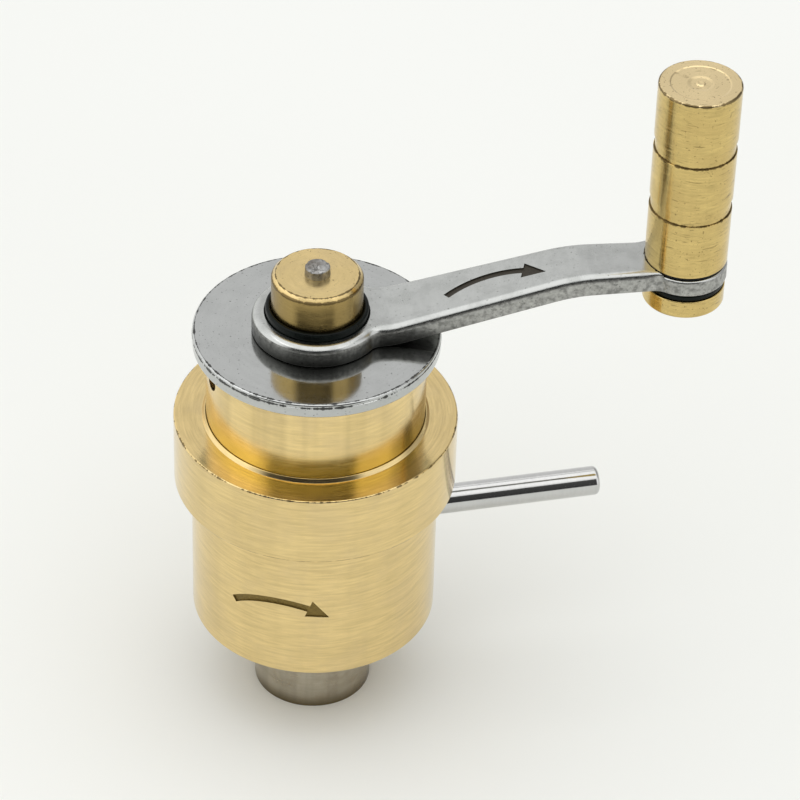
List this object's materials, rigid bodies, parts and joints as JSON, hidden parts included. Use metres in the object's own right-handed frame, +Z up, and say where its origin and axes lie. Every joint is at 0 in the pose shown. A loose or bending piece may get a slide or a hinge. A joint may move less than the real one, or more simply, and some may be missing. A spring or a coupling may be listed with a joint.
{
  "type": "watch mainspring winder",
  "caption": "Hand tool with a crank that winds a watch mainspring on a hooked arbor in a slotted drum, and a button that presses it out into the barrel.",
  "frame": {"origin": "centre of the winding drum's open mouth, on the main axis", "axes": "+Z up the main axis from drum to button, +X along the crank at rest, +Y by the right-hand rule"},
  "size_m": [0.0481, 0.025, 0.0631],
  "materials": {
    "body_brass": "turned satin",
    "collar_brass": "turned satin",
    "button_brass": "turned satin, worn edges",
    "grip_brass": "turned satin, fine scratches",
    "bush_bronze": "turned",
    "disc_steel": "polished",
    "arm_steel": "polished top, rough edges",
    "pin_steel": "polished",
    "drum_steel": "turned",
    "rod_steel": "hammered end",
    "screw_steel": "plain",
    "spindle_steel": "turned",
    "spring_steel": "plain",
    "rubber": "glossy"
  },
  "bodies": {
    "body": {"barrel_body": "body_brass", "winding_drum": "drum_steel", "side_pin": "pin_steel"},
    "collar": {"collar": "collar_brass", "thumb_disc": "disc_steel", "bearing_bush": "bush_bronze", "lock_screw": "screw_steel", "return_spring": "spring_steel"},
    "crank": {"crank_arm": "arm_steel", "spindle": "spindle_steel", "thrust_washer": "spindle_steel", "retaining_ring": "spring_steel", "button_seal": "rubber", "button_spring": "spring_steel"},
    "ejector": {"push_button": "button_brass", "push_rod": "rod_steel", "cross_pin": "spindle_steel", "ejector": "spindle_steel"},
    "handle": {"grip": "grip_brass", "grip_axle": "spindle_steel", "axle_cap": "grip_brass", "upper_washer": "rubber", "lower_washer": "rubber"}
  },
  "joints": [
    {"name": "collar_slide", "type": "slide", "parent": "body", "child": "collar", "axis": [0, 0, -1], "range_m": [0, 0.005], "stiffness_N_per_m": 1200, "springref_m": -0.004, "deforming": ["return_spring"]},
    {"name": "crank_spin", "type": "hinge", "parent": "collar", "child": "crank", "pos_m": [0, 0, 0.0406], "axis": [0, 0, 1], "continuous": true},
    {"name": "button_press", "type": "slide", "parent": "crank", "child": "ejector", "axis": [0, 0, -1], "range_m": [0, 0.003], "stiffness_N_per_m": 400, "springref_m": -0.003, "deforming": ["button_spring"]},
    {"name": "grip_spin", "type": "hinge", "parent": "crank", "child": "handle", "pos_m": [0.032, 0, 0.0545], "axis": [0, 0, 1], "continuous": true}
  ]
}
